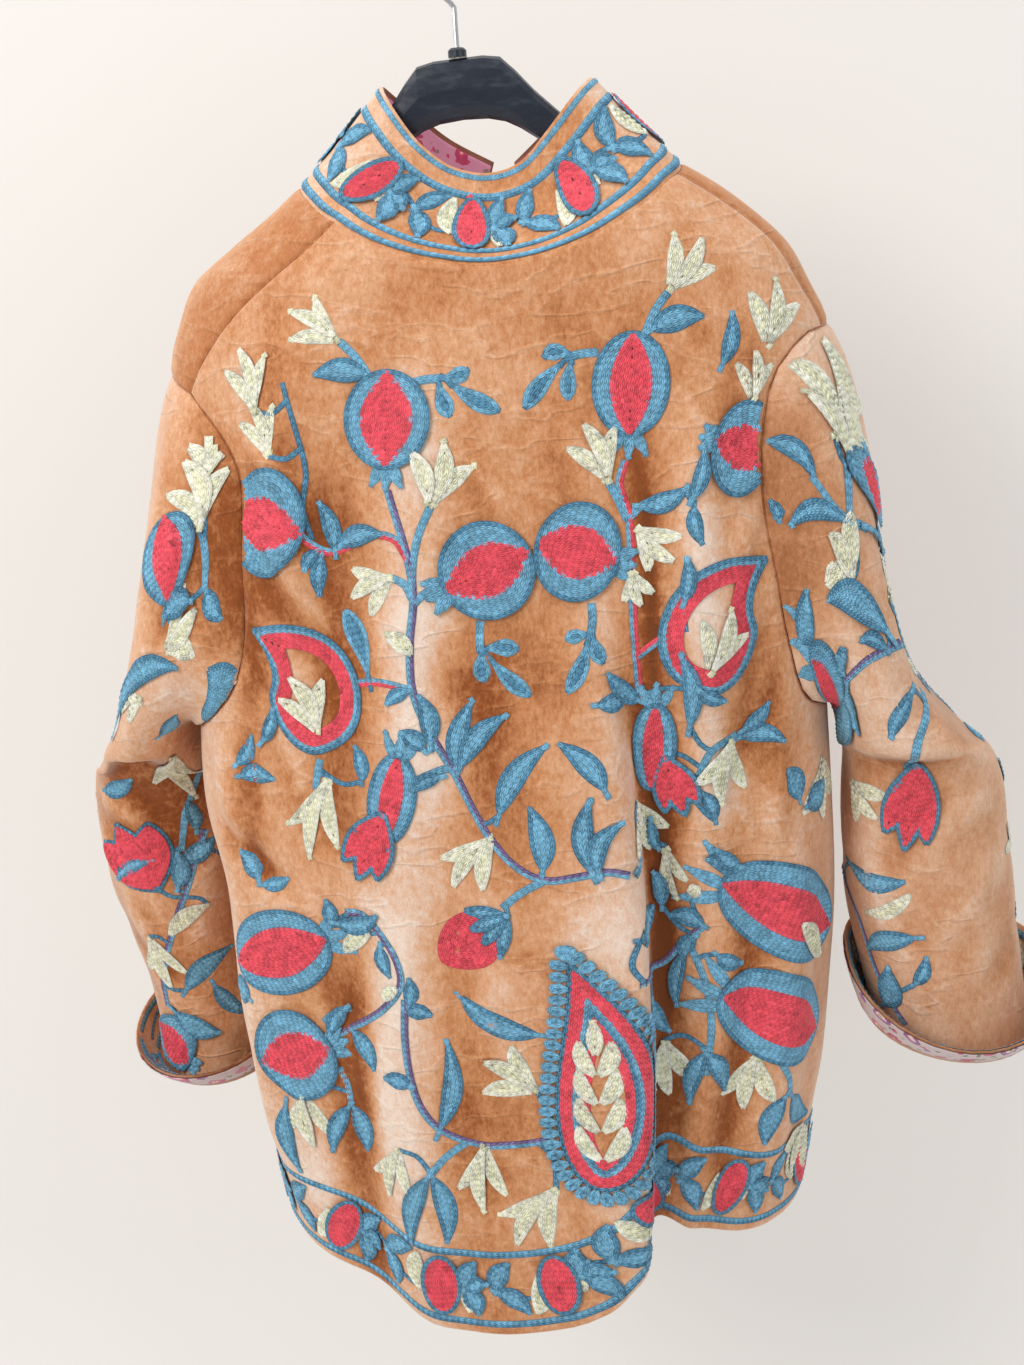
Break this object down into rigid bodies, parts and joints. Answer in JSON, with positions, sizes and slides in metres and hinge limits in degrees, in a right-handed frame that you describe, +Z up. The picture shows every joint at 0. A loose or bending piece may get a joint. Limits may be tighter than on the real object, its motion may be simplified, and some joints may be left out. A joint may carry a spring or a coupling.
{
  "type": "velvet jacket on a coat hanger",
  "caption": "Velvet jacket with a stand collar, open front and turned-back cuffs, hanging on a contoured coat hanger with a wire hook.",
  "frame": {"origin": "inside the top of the hanger's hook, where a rail or peg carries it", "axes": "+Z up, +X to the wearer's left, the jacket's front faces -Y"},
  "size_m": [0.7321, 0.2671, 0.9465],
  "materials": {
    "velvet": "cotton velvet, soft nap",
    "print": "printed cotton",
    "plastic": "moulded, satin gloss",
    "steel": "plated wire"
  },
  "bodies": {
    "root": {"back": "velvet", "front_left": "velvet", "front_right": "velvet", "sleeve_left": "velvet", "sleeve_right": "velvet", "cuff_lining_left": "print", "cuff_lining_right": "print", "collar": "velvet", "collar_lining": "print", "hanger_body": "plastic", "hanger_boss": "plastic", "hanger_hook": "steel"}
  },
  "joints": []
}
